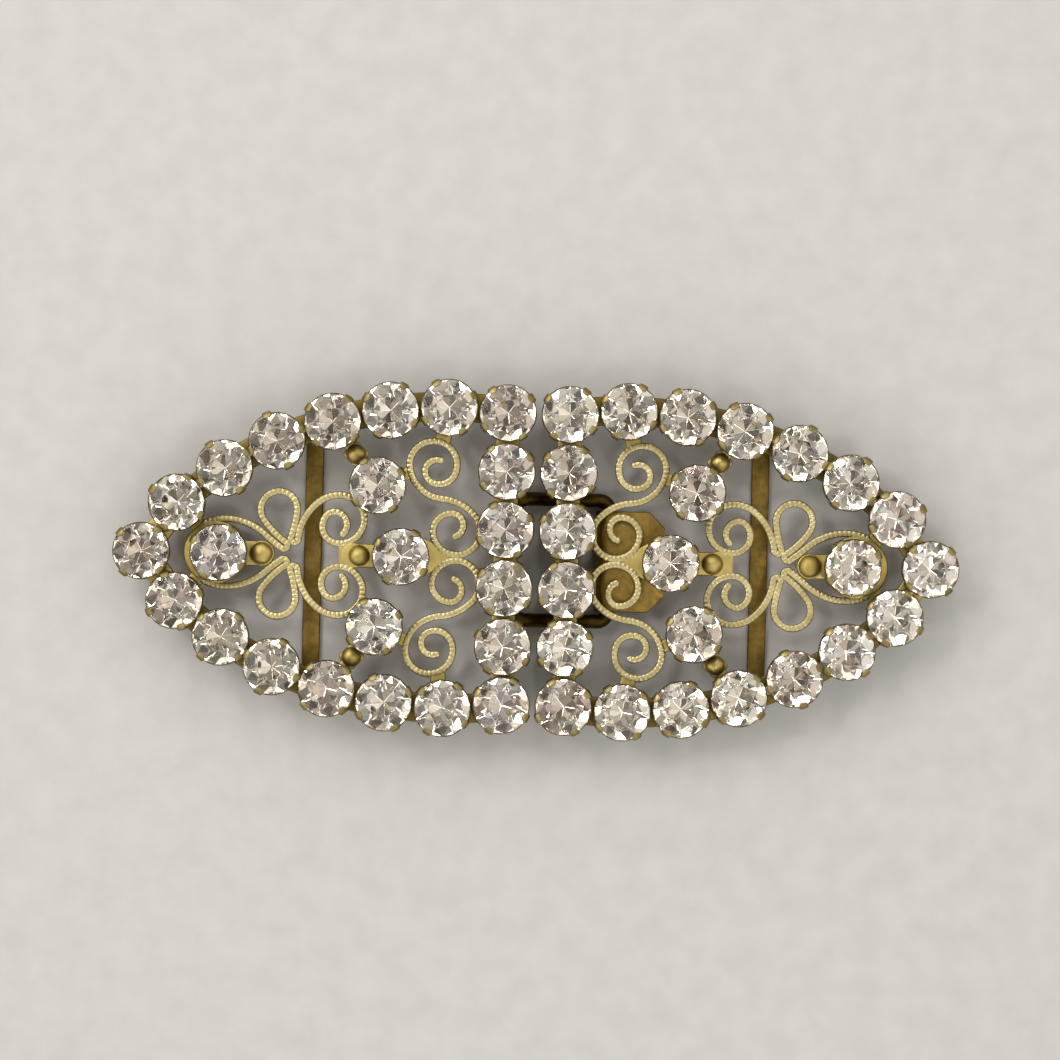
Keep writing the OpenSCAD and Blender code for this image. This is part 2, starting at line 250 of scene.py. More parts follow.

# %% [markdown]
# A rhinestone is a foiled glass chaton. Clear lead glass bends the light at the cut crown, and the
# silvered back throws it out again. So the stone is one closed solid with two finishes: glass on the
# crown, and a mirror of foil on the back. Pressed glass is never quite flat, so a weak wide bump
# bends each facet a little. Each facet of the foil also carries its own tint, a painted reflection
# that stands in for the reflected and split colours that change from facet to facet.

# %% Glass and foil
def make_crystal():
    """Lead glass: clear, IOR near 1.6, with a breath of warm colour and hairline wear."""
    material, tree, shader = new_material("pressed_lead_glass")
    place = add(tree, "ShaderNodeTexCoord").outputs["Object"]
    wave = add(tree, "ShaderNodeTexNoise", {"Scale": per_mm(1.6), "Detail": 1.0},
               {"Vector": place}).outputs["Fac"]
    wear = add(tree, "ShaderNodeTexNoise", {"Scale": per_mm(0.35), "Detail": 4.0},
               {"Vector": place}).outputs["Fac"]
    tree.links.new(ramp(tree, wave, [(0.3, "FFFDF8"), (0.7, "F8F1EA")]), shader.inputs["Base Color"])
    tree.links.new(ramp(tree, wear, [(0.55, 0.0), (0.8, 0.06)]), shader.inputs["Roughness"])
    bump = add(tree, "ShaderNodeBump", {"Strength": 0.015, "Distance": 0.02 * MM}, {"Height": wave})
    tree.links.new(bump.outputs[0], shader.inputs["Normal"])
    shader.inputs["IOR"].default_value = 1.6
    shader.inputs["Transmission Weight"].default_value = 1.0
    return material


def make_foil():
    """Silver foil under a lacquer: a mirror whose tint changes from facet to facet, duller in blotches."""
    material, tree, shader = new_material("silver_foil_back")
    place = add(tree, "ShaderNodeTexCoord").outputs["Object"]
    facet = add(tree, "ShaderNodeAttribute", {"attribute_name": "tone"}).outputs["Fac"]
    blotch = add(tree, "ShaderNodeTexNoise", {"Scale": per_mm(0.9), "Detail": 4.0},
                 {"Vector": place}).outputs["Fac"]
    mixed = add(tree, "ShaderNodeMath", {"operation": "MULTIPLY_ADD", 1: 0.25}, {0: blotch, 2: facet})
    # Painted reflection: the tint changes from facet to facet to stand in for reflected and split colour.
    tint = ramp(tree, mixed.outputs[0], [(0.10, "FFFFFF"), (0.40, "FDF9F1"), (0.62, "F4F0E4"), (0.85, "F0E8E2"),
                                         (1.00, "E4D7D0")])
    tree.links.new(tint, shader.inputs["Base Color"])
    tree.links.new(ramp(tree, blotch, [(0.4, 0.02), (0.8, 0.10)]), shader.inputs["Roughness"])
    shader.inputs["Metallic"].default_value = 1.0
    return material


CRYSTAL = make_crystal()
FOIL = make_foil()
print("stone finishes:", CRYSTAL.name, FOIL.name)

# %% [markdown]
# Nearly every part of the metalwork is a ring of points carried along something: a strip along its
# scroll, a sheet round its fold, a circle up the wall of a cup. So two helpers make all of it. One
# skins a row of rings into a closed shell, and checks by its volume that the faces look outwards.
# The other joins shells into one mesh, and hides the CAD nodes that the mesh stands for.

# %% Helpers for surfaces
def unit(vectors):
    """Vectors scaled to length one."""
    return vectors / np.linalg.norm(vectors, axis=-1, keepdims=True)


def shell(rings, tone=0.0):
    """Closed skin over rings (n, m, 3): quads between rings and a fan over each end. Volume sets the winding."""
    n, m = rings.shape[:2]
    ring, column = np.meshgrid(np.arange(n - 1), np.arange(m), indexing="ij")
    here, beside = ring * m + column, ring * m + (column + 1) % m
    quads = np.stack([here, beside, beside + m, here + m], -1).reshape(-1, 4)
    c, d = np.arange(m), (np.arange(m) + 1) % m
    fans = np.vstack([np.stack([np.full(m, n * m), d, c], -1),
                      np.stack([np.full(m, n * m + 1), (n - 1) * m + c, (n - 1) * m + d], -1)])
    points = np.vstack([rings.reshape(-1, 3), rings[0].mean(0), rings[-1].mean(0)])
    corners = points[np.vstack([quads[:, [0, 1, 2]], quads[:, [0, 2, 3]], fans])]
    if np.einsum("ij,ij->", corners[:, 0], np.cross(corners[:, 1], corners[:, 2])) < 0:
        quads, fans = quads[:, ::-1], fans[:, ::-1]
    tones = np.broadcast_to(np.asarray(tone, float), (n, m))
    return points, [quads, fans], np.append(tones.ravel(), [tones[0].mean(), tones[-1].mean()])


def sweep(path, profile, up=None, side=None, tone=0.0):
    """A profile (across, up) carried along a path (n, 3). One of the two directions is held, the other turns."""
    tangent = unit(np.gradient(path, axis=0))
    if side is None:
        side = unit(np.cross(np.array(up, float), tangent))
    side = np.broadcast_to(np.array(side, float), path.shape)
    rise = np.cross(tangent, side)
    profile = np.broadcast_to(profile, (len(path),) + profile.shape[-2:])
    rings = path[:, None] + profile[..., :1] * side[:, None] + profile[..., 1:] * rise[:, None]
    return shell(rings, tone)


def turned(profile, centre, columns=48, lobes=0.0, count=4, turn=0.0):
    """A profile of (radius, height) turned round a centre. lobes swells the radius by cos(count * angle)."""
    angle = np.linspace(0, 2 * np.pi, columns, endpoint=False)
    reach = 1 + lobes * np.cos(count * (angle - turn))
    profile = np.array(profile, float)
    radius = profile[:, :1] * reach
    return shell(np.stack([centre[0] + radius * np.cos(angle), centre[1] + radius * np.sin(angle),
                           np.broadcast_to(profile[:, 1:], radius.shape)], -1))


def rounded_bar(width, height, radius, steps=3):
    """Ring of a rounded rectangle: four quarter circles, one round each corner."""
    angle = np.concatenate([np.linspace(q, q + np.pi / 2, steps + 1) for q in np.arange(4) * np.pi / 2])
    middle = np.array([width / 2 - radius, height / 2 - radius])
    quarter = np.repeat(np.array([[1, 1], [-1, 1], [-1, -1], [1, -1]]), steps + 1, axis=0)
    return quarter * middle + radius * np.stack([np.cos(angle), np.sin(angle)], -1)


def mirrored(parts, axis=0):
    """The same shells across the middle: one coordinate changes sign, and each face is read backwards."""
    flip = np.where(np.arange(3) == axis, -1.0, 1.0)
    return [(points * flip, [block[:, ::-1] for block in blocks], tone) for points, blocks, tone in parts]


def make_piece(name, parts, materials, body, nodes, crease=40, indexes=None):
    """Joins shells drawn in mm into one mesh in metres. It rides on a body and stands for CAD nodes."""
    starts = np.cumsum([0] + [len(part[0]) for part in parts])
    faces = [row for part, start in zip(parts, starts) for block in part[1] for row in (block + start).tolist()]
    mesh = bpy.data.meshes.new(name)
    mesh.from_pydata(np.vstack([part[0] for part in parts]) * MM, [], faces)
    tone = mesh.attributes.new("tone", "FLOAT", "POINT")
    tone.data.foreach_set("value", np.concatenate([part[2] for part in parts]).astype(np.float32))
    for material in materials:
        mesh.materials.append(material)
    if indexes is not None:
        mesh.polygons.foreach_set("material_index", indexes)
    mesh.polygons.foreach_set("use_smooth", np.ones(len(faces), bool))
    mesh.set_sharp_from_angle(angle=math.radians(crease))
    mesh.update()
    piece = bpy.data.objects.new(name, mesh)
    bpy.context.scene.collection.objects.link(piece)
    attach(piece, body)
    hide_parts(*nodes)
    return piece


def middle(node):
    """Middle of a CAD node's box, in mm."""
    low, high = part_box(node)
    return np.array((low + high) / 2) / MM


def box_mm(node):
    """Lowest and highest corner of a CAD node, in mm."""
    return [np.array(corner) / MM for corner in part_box(node)]


# %% [markdown]
# The heights and places come from the frame. A stone's box gives its middle and its point and table;
# the filigree's box gives the level that its sheet starts on. Three stones of the rim give the
# circle that the rim band follows, because a circle is fixed by three of its points.

# %% Places
SIDES = {"right": 1, "left": -1}
BODY = {"right": "right_half", "left": "left_half"}
ROWS = {"rim_cups": [f"rim_stone_{n}" for n in range(1, 16)],
        "column_cups": [f"column_stone_{n}" for n in range(1, 5)],
        "inner_cups": ["upper_side_stone", "lower_side_stone", "middle_stone", "inner_tip_stone"]}
# The cut stone: girdle and table radius, and the heights of crown, girdle and back
STONE_R, TABLE_R, CROWN_H, GIRDLE_H, PAVILION_H = 2.8, 1.25, 1.15, 0.15, 2.3
GIRDLE_Z = box_mm("right_rim_stone_1")[0][2] + PAVILION_H
# Rise over run of the crown's facets, which a prong's nail follows
CROWN_SLOPE = 0.74
PLATE_Z = box_mm("right_filigree")[0][2]
PLATE_T = 0.8
TOP_Z = PLATE_Z + PLATE_T
TIP = middle("right_rim_stone_8")[:2]
RIM_POINTS = [middle(f"right_rim_stone_{n}")[:2] for n in range(1, 8)]
CUP_R = 2.92
# The scrolls are drawn with the tip stone at 39.6 and the crest stone at 15.1 from the middle
STRETCH = np.array([TIP[0] / 39.6, (box_mm("right_rim_cups")[1][1] - CUP_R) / 15.1])


def circle_through(a, b, c):
    """Centre and radius of the circle through three points: two chords' bisectors meet at its centre."""
    rows = 2 * np.array([b - a, c - a])
    centre = np.linalg.solve(rows, np.array([b @ b - a @ a, c @ c - a @ a]))
    return centre, float(np.linalg.norm(a - centre))


RIM_CENTRE, RIM_R = circle_through(RIM_POINTS[0], RIM_POINTS[3], RIM_POINTS[6])
print("sheet from", round(PLATE_Z, 2), "to", round(TOP_Z, 2), "mm; rim circle", round(RIM_R, 1), "mm")

# %% [markdown]
# The scrolls are one brass strip bent round pins into arcs, then turned back on itself at each
# hairpin. So a scroll is written as a bender would say it: a start, a heading, then arcs of a radius
# and a turn. The strip was milled before it was bent, which left a cut every half millimetre. The
# ring's height follows how far along the strip it stands, so the cuts are real steps in the mesh.

# %% Paths made of arcs
STRIP_W = 0.72
CUT_PITCH = 0.46               # from one milled cut to the next, in mm
RINGS_PER_CUT = 6
S_START = [9.5, 9.65, 35]
S_ARCS = [[1.2, -190], [1.75, -96], [2.4, -210], [3.7, -75], [4.8, 46], [2.4, 210], [1.9, 96], [1.2, 180]]
C_START = [19.8, 1.95, 150]
C_ARCS = [[1.3, -145], [1, -50], [1.7, -130], [2.45, -180], [3.3, -43], [5.5, -47],
          [STRIP_W / 2 + 0.01, 193], [13.8, -11], [1.85, -222], [8.8, -21],
          [STRIP_W / 2 + 0.01, 182], [25, 5], [6.2, -27], [5.4, -42]]


def arc_path(start, arcs, spacing):
    """Points along a chain of arcs at even spacing. Each arc turns about a centre square to its heading."""
    x, y, heading = start[0], start[1], math.radians(start[2])
    points = [np.array([[x, y]])]
    for radius, turn in arcs:
        turn, side = math.radians(turn), math.copysign(1, turn)
        centre = np.array([x - side * radius * math.sin(heading), y + side * radius * math.cos(heading)])
        angle = heading + np.linspace(0, turn, 60)[1:]
        points.append(centre + side * radius * np.stack([np.sin(angle), -np.cos(angle)], -1))
        (x, y), heading = points[-1][-1], angle[-1]
    points = np.vstack(points) * STRETCH
    run = np.append(0, np.cumsum(np.linalg.norm(np.diff(points, axis=0), axis=1)))
    even = np.linspace(0, run[-1], max(2, round(run[-1] / spacing)))
    return np.stack([np.interp(even, run, points[:, 0]), np.interp(even, run, points[:, 1])], -1)


def level(points, z):
    """Flat points lifted to a height."""
    return np.column_stack([points, np.full(len(points), z)])


# %% Milled strip
# Half of the strip's section, from the middle of its back to the middle of its crest: across and up
STRIP_HALF = np.array([[0.00, 0.00], [0.30, 0.00], [0.35, 0.06], [0.36, 0.60], [0.355, 0.70], [0.32, 0.765],
                       [0.24, 0.795], [0.00, 0.81]])


def milled_strip(start, arcs):
    """The strip's section along its scroll. Every sixth ring sinks into a cut; end rings shrink to a round end."""
    path = arc_path(start, arcs, CUT_PITCH / RINGS_PER_CUT)
    count = len(path)
    phase = np.arange(count) % RINGS_PER_CUT
    cut = np.array([1.0, 0.55, 0.08, 0.0, 0.08, 0.55])[phase][:, None]
    half = STRIP_HALF
    section = np.vstack([half[1:-1], half[-1:], half[-2:0:-1] * [-1, 1], half[:1]])
    crest = np.clip((section[:, 1] - 0.5) / 0.3, 0, 1)
    scale = 1 - cut * crest * 0.05
    rings = np.stack([section[:, 0] * scale, section[:, 1] - 0.042 * cut * crest], -1)
    from_end = np.minimum(np.arange(count), np.arange(count)[::-1]) * CUT_PITCH / RINGS_PER_CUT
    taper = np.sqrt(np.clip(1 - (1 - np.clip(from_end / (STRIP_W / 2), 0.03, 1)) ** 2, 0, 1))[:, None]
    rings[..., 0] *= taper
    tone = 0.02 + 0.26 * cut * crest + 0.40 * (1 - crest)
    return sweep(level(path, PLATE_Z), rings, up=(0, 0, 1), tone=tone)


def quarter_strips():
    """The two strips of the upper quarter, and the same two below the middle line."""
    upper = [milled_strip(S_START, S_ARCS), milled_strip(C_START, C_ARCS)]
    return upper + mirrored(upper, axis=1)


STRIPS = quarter_strips()
for side in SIDES:
    parts = STRIPS if side == "right" else mirrored(STRIPS)
    strips = make_piece(f"{side}_scroll_strips", parts, [STRIP_BRASS], BODY[side], [f"{side}_filigree"],
                        crease=50)
    print(strips.name, len(strips.data.polygons), "faces")

# %% [markdown]
# Under the stones lies stamped sheet: a band round the rim, a straight band beside the middle line,
# and a round seat for each stone that stands inside. All are flat bars with rounded edges, so they
# are the same swept section along an arc or a line. Each level differs by a few hundredths of a
# millimetre, as soldered sheets do, which also keeps two faces from lying in one plane.

# %% Bands, links and seats
RIM_OUT, RIM_IN, COLUMN_W, SEAT_R, SHIELD_R, SHIELD_SHIFT = 1.65, 1.3, 2.4, 2.3, 3.2, 0.55
COLUMN_X = middle("right_column_stone_1")[0]
CORNER = RIM_POINTS[0]
SIDE_P = middle("right_upper_side_stone")[:2]
MIDDLE_P = middle("right_middle_stone")[:2]
INNER_TIP_P = middle("right_inner_tip_stone")[:2]
LINK_DROP = iter(np.tile([0.03, 0.05, 0.07, 0.09], 20))


def flat_bar(points, width, drop=0.0):
    """A flat bar of rounded section along points in plan, its top a little under the sheet's level."""
    section = rounded_bar(width, PLATE_T - 2 * drop, 0.16)
    return sweep(level(points, PLATE_Z + PLATE_T / 2), section, up=(0, 0, 1))


def link(a, b, width):
    """A straight flat bar from a to b."""
    a, b = np.array(a), np.array(b)
    return flat_bar(a + np.linspace(0, 1, 9)[:, None] * (b - a), width, next(LINK_DROP))


def tapered_link(a, b, width_a, width_b):
    """A straight flat bar whose width runs evenly from one end to the other."""
    t = np.linspace(0, 1, 9)[:, None]
    points = np.array(a) + t * (np.array(b) - np.array(a))
    rings = np.stack([rounded_bar(w, PLATE_T - 0.08, 0.16) for w in (width_a + t[:, 0] * (width_b - width_a))])
    return sweep(level(points, PLATE_Z + PLATE_T / 2), rings, up=(0, 0, 1))


def seat(centre, radius, lobes=0.0, drop=0.0):
    """A round plate: up its edge and over a rounded corner, turned. lobes makes the quatrefoil."""
    low, high, soft = PLATE_Z + drop, TOP_Z - drop, 0.14
    bend = np.linspace(0, np.pi / 2, 5)
    lower = np.stack([radius - soft + soft * np.sin(bend), low + soft - soft * np.cos(bend)], -1)
    upper = np.stack([radius - soft + soft * np.cos(bend), high - soft + soft * np.sin(bend)], -1)
    return turned(np.vstack([[[0.05, low]], lower, upper, [[0.05, high]]]), centre, 64, lobes)


def dome(centre, radius, height):
    """A boss: a low quarter ellipse turned about its centre, sunk a little into the sheet."""
    t = np.linspace(0, np.pi / 2, 9)[:-1]
    rise = np.stack([radius * np.cos(t), TOP_Z + height * np.sin(t)], -1)
    return turned(np.vstack([[[0.05, TOP_Z - 0.3]], [[radius, TOP_Z - 0.3]], rise, [[0.02, TOP_Z + height]]]),
                  centre, 40)


def rim_band():
    """The band under one curve of rim stones. Its outer reach shrinks evenly to the inner one before the tip."""
    rel = np.array(RIM_POINTS) - RIM_CENTRE
    angle = np.arctan2(rel[:, 0], rel[:, 1])
    step = (angle[-1] - angle[0]) / 6
    sweep_angle = np.linspace(angle[0] - 0.15 * step, angle[-1] + 0.1 * step, 57)
    narrowing = np.clip((sweep_angle - angle[-1]) / (0.9 * step) + 1, 0, 1)
    out = RIM_OUT - (RIM_OUT - RIM_IN) * narrowing
    radius = (RIM_R + (out - RIM_IN) / 2)[:, None]
    points = RIM_CENTRE + radius * np.stack([np.sin(sweep_angle), np.cos(sweep_angle)], -1)
    rings = np.stack([rounded_bar(width, PLATE_T, 0.16) for width in out + RIM_IN])
    # Painted shade: tone 0.65 darkens the whole band, which lies in the shade of the rim stones.
    return sweep(level(points, PLATE_Z + PLATE_T / 2), rings, up=(0, 0, 1), tone=0.65)


def sheet_parts():
    """Everything stamped from sheet on the right half, upper quarter first, then its twin, then the middle."""
    boss_p = (SIDE_P + RIM_POINTS[3]) / 2
    upper = [rim_band(), link(RIM_POINTS[6], TIP, 2 * RIM_IN),
             link([9.7, 11.6] * STRETCH, RIM_POINTS[1], 1.6), link([12.6, 8.7] * STRETCH, SIDE_P, 1.3),
             link([18.5, 5.2] * STRETCH, SIDE_P, 1.4), link(SIDE_P, RIM_POINTS[3], 1.2),
             link([COLUMN_X, 2.9 * STRETCH[1]], [6.1, 2.9] * STRETCH, 2.5),
             link(INNER_TIP_P, RIM_POINTS[6], 1.6),
             seat(SIDE_P, SEAT_R, drop=0.02), seat(CORNER, SEAT_R, drop=0.02),
             seat(boss_p, 1.12, lobes=0.14), dome(boss_p, 1.02, 0.78)]
    column = np.column_stack([np.full(25, COLUMN_X), np.linspace(-CORNER[1], CORNER[1], 25)])
    centre = [flat_bar(column, COLUMN_W, 0.01), link([7.4, 0] * STRETCH, MIDDLE_P, 1.2),
              tapered_link([8.9, 0] * STRETCH, [11.3, 0] * STRETCH, 1.2, 3.9),
              link(MIDDLE_P, [18.6, 0] * STRETCH, 2.4),
              tapered_link([17.4, 0] * STRETCH, [19.9, 0] * STRETCH, 2.2, 2.7),
              seat([18.4, 0] * STRETCH, 1.3, drop=0.01), link([27.7, 0] * STRETCH, INNER_TIP_P, 2.5),
              seat([27.7, 0] * STRETCH, 1.3, drop=0.01), seat(MIDDLE_P, SEAT_R, drop=0.02),
              seat(INNER_TIP_P + [SHIELD_SHIFT, 0], SHIELD_R), seat(TIP, SEAT_R, drop=0.02),
              dome([17.85, 0] * STRETCH, 1.08, 0.78), dome([27.7, 0] * STRETCH, 1.15, 0.74)]
    return upper + mirrored(upper, axis=1) + centre


SHEETS = sheet_parts()
for side in SIDES:
    parts = SHEETS if side == "right" else mirrored(SHEETS)
    sheet = make_piece(f"{side}_bands_and_seats", parts, [SHEET_BRASS], BODY[side], [f"{side}_filigree"],
                       crease=45)
    print(sheet.name, len(sheet.data.polygons), "faces")

# %% [markdown]
# A cup is turned from thin sheet, with a lip that dips between its four prongs. After the stone went
# in, a pusher bent each prong over the crown, one after the other, so no two sit quite alike. The
# wall is one turned grid whose top edge is a wave of four. A prong is a bar that starts on the
# wall, follows it up, turns in over the stone's edge, and ends in a rounded nail.

# %% Cups and prongs
CUP_TURN = {row: [45 + 22 * math.sin(math.radians(97 * i + 30)) for i in range(15)] for row in ROWS}
# Radius and height of the cup's skin, from the middle of its foot, up the outside, and down the inside
CUP_PROFILE = np.array([[0.05, 3.60], [2.10, 3.60], [2.42, 3.63], [2.62, 3.76], [2.72, 4.05], [2.80, 4.7],
                        [2.85, 5.5], [2.86, 6.15], [2.885, 6.36], [2.86, 6.42], [2.82, 6.40], [2.80, 6.26],
                        [2.66, 6.10], [1.25, 4.35], [0.05, 3.93]])
# Radius and height of a prong's middle line, then its half width and half thickness at each of those
PRONG_PATH = np.array([[2.80, 3.95], [2.86, 4.6], [2.90, 5.4], [2.92, 6.0], [2.925, 6.3], [2.89, 6.50],
                       [2.80, 6.645], [2.70, 6.72], [2.62, 6.775], [2.55, 6.825], [2.49, 6.865], [2.455, 6.89]])
PRONG_HALF_W = np.array([0.50, 0.50, 0.49, 0.47, 0.46, 0.46, 0.45, 0.44, 0.42, 0.38, 0.30, 0.12])
PRONG_HALF_T = np.array([0.05, 0.07, 0.10, 0.14, 0.18, 0.20, 0.18, 0.15, 0.12, 0.10, 0.08, 0.03])


def cup_wall(centre, turn):
    """The turned skin of one cup. Its lip sinks by a wave of four between the prongs."""
    angle = np.linspace(0, 2 * np.pi, 64, endpoint=False)
    high = np.clip((CUP_PROFILE[:, 1:] - 5.3) / 1.1, 0, 1) * (CUP_PROFILE[:, :1] > 2.7)
    dip = 0.20 * (1 - np.cos(4 * (angle - turn))) / 2
    z = CUP_PROFILE[:, 1:] - high * dip
    rings = np.stack([centre[0] + CUP_PROFILE[:, :1] * np.cos(angle),
                      centre[1] + CUP_PROFILE[:, :1] * np.sin(angle), z], -1)
    return shell(rings, 0.15 + 0.55 * np.clip((4.6 - CUP_PROFILE[:, 1:]) / 1.0, 0, 1))


def prong(centre, angle, reach):
    """A rounded bar up the wall and over the girdle. reach slides its nail up the slope of the crown."""
    t = np.linspace(0, 2 * np.pi, 12, endpoint=False)
    square = 0.5
    section = np.stack([np.sign(np.cos(t)) * np.abs(np.cos(t)) ** square,
                        np.sign(np.sin(t)) * np.abs(np.sin(t)) ** square], -1)
    slid = reach * np.clip((PRONG_PATH[:, 1] - 6.6) / 0.4, 0, 1)
    radius, height = PRONG_PATH[:, 0] - slid, PRONG_PATH[:, 1] + CROWN_SLOPE * slid
    out = np.array([math.cos(angle), math.sin(angle), 0])
    along = np.array([-math.sin(angle), math.cos(angle), 0])
    path = np.append(centre, 0) + radius[:, None] * out + np.array([0, 0, 1.0]) * height[:, None]
    profile = section * np.stack([PRONG_HALF_W, PRONG_HALF_T], -1)[:, None]
    return sweep(path, profile, side=along, tone=0.05 + 0.4 * (height[:, None] < 5))


def make_cups():
    """Each row of cups as one piece, standing for that row's CAD node."""
    draw = np.random.default_rng(7)
    for side, sign in SIDES.items():
        for row, names in ROWS.items():
            parts = []
            for i, name in enumerate(names):
                centre, turn = middle(f"{side}_{name}")[:2], sign * math.radians(CUP_TURN[row][i])
                parts.append(cup_wall(centre, turn))
                parts += [prong(centre, turn + q * np.pi / 2 + draw.normal(0, 0.045), draw.uniform(-0.05, 0.10))
                          for q in range(4)]
            cups = make_piece(f"{side}_{row}_pronged", parts, [CUP_BRASS], BODY[side], [f"{side}_{row}"],
                              crease=50)
            print(cups.name, len(names), "cups,", len(cups.data.polygons), "faces")


make_cups()

# %% [markdown]
# The cut of the stone is an old one. An eight-sided table is ringed by eight small stars, eight
# kites and sixteen halves, and the back is eight kites and sixteen halves that meet in a point.
# For a kite to be flat, its side corners must lie on the plane through table and girdle, and that
# one condition gives their heights. Every stone sits in its cup a degree or two askew.

# %% Cut stones
def cut_stone():
    """Corners and facets of one stone, with its girdle on z = 0.

    Returns points, facets and how many of the facets are crown."""
    def ring(count, radius, z, start=0.0):
        angle = np.radians(start) + np.linspace(0, 2 * np.pi, count, endpoint=False)
        return np.column_stack([radius * np.cos(angle), radius * np.sin(angle), np.full(count, z)])
    half_step, star_r, back_r = math.cos(math.pi / 8), 1.72, 2.25
    table_r = TABLE_R / half_step
    star_z = CROWN_H * (STONE_R - star_r * half_step) / (STONE_R - table_r)
    back_z = -PAVILION_H * (1 - back_r * half_step / STONE_R)
    points = np.vstack([ring(8, table_r, GIRDLE_H + CROWN_H), ring(8, star_r, GIRDLE_H + star_z, 22.5),
                        ring(16, STONE_R, GIRDLE_H), ring(16, STONE_R, 0), ring(8, back_r, back_z, 22.5),
                        [[0, 0, -PAVILION_H]]])
    table, star, top, low, back, point = 0, 8, 16, 32, 48, 56
    k, n = np.arange(8), (np.arange(8) + 1) % 8
    before, j = (k - 1) % 8, np.arange(16)
    crown = [[list(range(8))], np.stack([table + k, star + k, table + n], -1),
             np.stack([table + k, star + before, top + 2 * k, star + k], -1),
             np.stack([star + k, top + 2 * k, top + 2 * k + 1], -1),
             np.stack([star + k, top + 2 * k + 1, top + 2 * n], -1)]
    girdle = [np.stack([top + j, low + j, low + (j + 1) % 16, top + (j + 1) % 16], -1)]
    pavilion = [np.stack([np.full(8, point), back + k, low + 2 * k, back + before], -1),
                np.stack([back + k, low + 2 * k + 1, low + 2 * k], -1),
                np.stack([back + k, low + 2 * n, low + 2 * k + 1], -1)]
    front = [list(f) for block in crown + girdle for f in np.asarray(block).tolist()]
    return points, front + [f for block in pavilion for f in block.tolist()], len(front)


def make_stones():
    """Every stone from the same cut, turned by chance and leaning by up to two degrees and a half."""
    draw = np.random.default_rng(23)
    cut, facets, crown_count = cut_stone()
    for side in SIDES:
        for name in [name for names in ROWS.values() for name in names]:
            low, high = box_mm(f"{side}_{name}")
            turn = draw.uniform(0, 2 * np.pi)
            lean, lean_way = math.radians(draw.uniform(0.4, 2.6)), draw.uniform(0, 2 * np.pi)
            c, s = math.cos(turn), math.sin(turn)
            spin = np.array([[c, -s, 0], [s, c, 0], [0, 0, 1]])
            across = np.array([math.cos(lean_way), math.sin(lean_way), 0])
            x, y, z = across
            cross = np.array([[0, -z, y], [z, 0, -x], [-y, x, 0]])
            tilt = np.eye(3) + math.sin(lean) * cross + (1 - math.cos(lean)) * cross @ cross
            place = np.array([(low[0] + high[0]) / 2, (low[1] + high[1]) / 2, GIRDLE_Z])
            points = cut @ spin.T @ tilt.T + place
            mesh = bpy.data.meshes.new(f"{side}_{name}_cut")
            mesh.from_pydata(points * MM, [], facets)
            mesh.materials.append(CRYSTAL)
            mesh.materials.append(FOIL)
            index = (np.arange(len(facets)) >= crown_count).astype(np.int32)
            mesh.polygons.foreach_set("material_index", index)
            # Painted reflection: each facet's tone picks a foil tint, standing in for reflected and split colour.
            tone = mesh.attributes.new("tone", "FLOAT", "FACE")
            tone.data.foreach_set("value", (draw.beta(1.3, 1.6, len(facets)) * 0.9).astype(np.float32))
            mesh.update()
            stone = bpy.data.objects.new(f"{side}_{name}_cut", mesh)
            bpy.context.scene.collection.objects.link(stone)
            worn = stone.modifiers.new("worn_ridges", "BEVEL")
            worn.width, worn.segments, worn.angle_limit = 0.02 * MM, 1, math.radians(8)
            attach(stone, BODY[side])
            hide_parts(f"{side}_{name}")
    print("stones:", 2 * sum(len(names) for names in ROWS.values()), "of", len(facets), "facets")


make_stones()

# %% [markdown]
# Across the back of each half runs a bar for the ribbon: a strip of raw brass with both ends bent
# down to the rim. The hook is a wider strip folded back on itself round a rod, and the loop is a
# wire bent like a staple, whose ends were hammered flat and soldered on. All three are one section
# carried along a bent line, so a helper first gives that line its rounded corners.

# %% Ribbon bars, hook and loop
def bent_line(corners, radius, step=0.12):
    """A line through corners, each rounded by an arc that touches both its neighbours.

    radius is one number, or one for each corner."""
    corners = np.array(corners, float)
    radius = np.broadcast_to(np.array(radius, float), len(corners) - 2)
    points = [corners[:1]]
    for before, corner, after, r in zip(corners[:-2], corners[1:-1], corners[2:], radius):
        arrive, leave = unit(corner - before), unit(after - corner)
        turn = math.acos(float(np.clip(arrive @ leave, -1, 1)))
        inward = unit(leave - (leave @ arrive) * arrive)
        first = corner - arrive * r * math.tan(turn / 2)
        a = np.linspace(0, turn, max(5, int(r * turn / step)))[:, None]
        points.append(first + r * inward * (1 - np.cos(a)) + r * arrive * np.sin(a))
    line = np.vstack(points + [corners[-1:]])
    run = np.append(0, np.cumsum(np.linalg.norm(np.diff(line, axis=0), axis=1)))
    even = np.unique(np.concatenate([run, np.arange(0, run[-1], 0.6)]))
    even = even[np.append(True, np.diff(even) > 0.02)]
    return np.column_stack([np.interp(even, run, line[:, i]) for i in range(3)])


BAR_T = 0.6
for side in SIDES:
    low, high = box_mm(f"{side}_ribbon_bar")
    x, half = (low[0] + high[0]) / 2, BAR_T / 2
    line = bent_line([[x, low[1] + half, high[2]], [x, low[1] + half, half], [x, high[1] - half, half],
                      [x, high[1] - half, high[2]]], 0.45)
    section = rounded_bar(high[0] - low[0], BAR_T, 0.14)
    bar = make_piece(f"{side}_ribbon_bar_rolled", [sweep(line, section, side=(1, 0, 0))], [RAW_BRASS],
                     BODY[side], [f"{side}_ribbon_bar"], crease=45)
    print(bar.name, "along", round(float(high[1] - low[1]), 1), "mm")

HINGE = np.array(frame["record"]["behaviour"]["joints"][0]["pos_m"]) / MM
HOOK_T, WIRE_R, CUT_CORNER = 0.6, 0.7, 1.6
HOOK_LOW, HOOK_HIGH = box_mm("hook")


